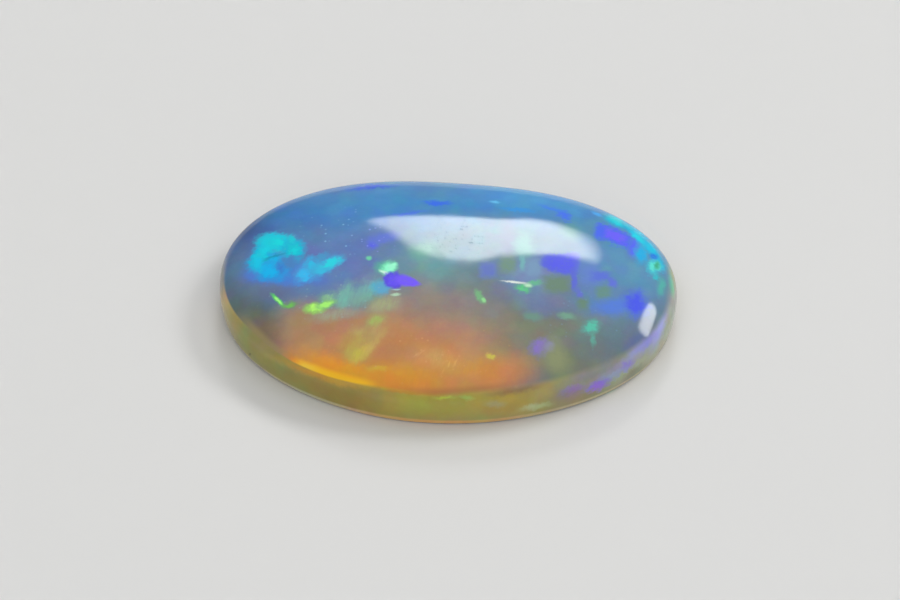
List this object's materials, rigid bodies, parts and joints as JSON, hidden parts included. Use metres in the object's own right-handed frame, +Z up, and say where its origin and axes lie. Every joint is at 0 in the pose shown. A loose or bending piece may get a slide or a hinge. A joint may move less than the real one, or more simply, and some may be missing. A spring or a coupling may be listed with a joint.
{
  "type": "opal cabochon",
  "caption": "Low oval cabochon of milky white opal with play of colour: polished dome, rounded sides, narrow bevel and flat base, to lie loose or sit in a bezel.",
  "frame": {"origin": "under the middle of the stone, at the level that its flat base rests on", "axes": "+X along the stone's long axis, +Y across it towards its flatter long side, +Z up from the base to the crown of the dome"},
  "size_m": [0.0122, 0.0084, 0.0019],
  "materials": {
    "opal": "mirror polish, milky and translucent, with play of colour"
  },
  "bodies": {
    "root": {"opal_cabochon": "opal"}
  },
  "joints": []
}
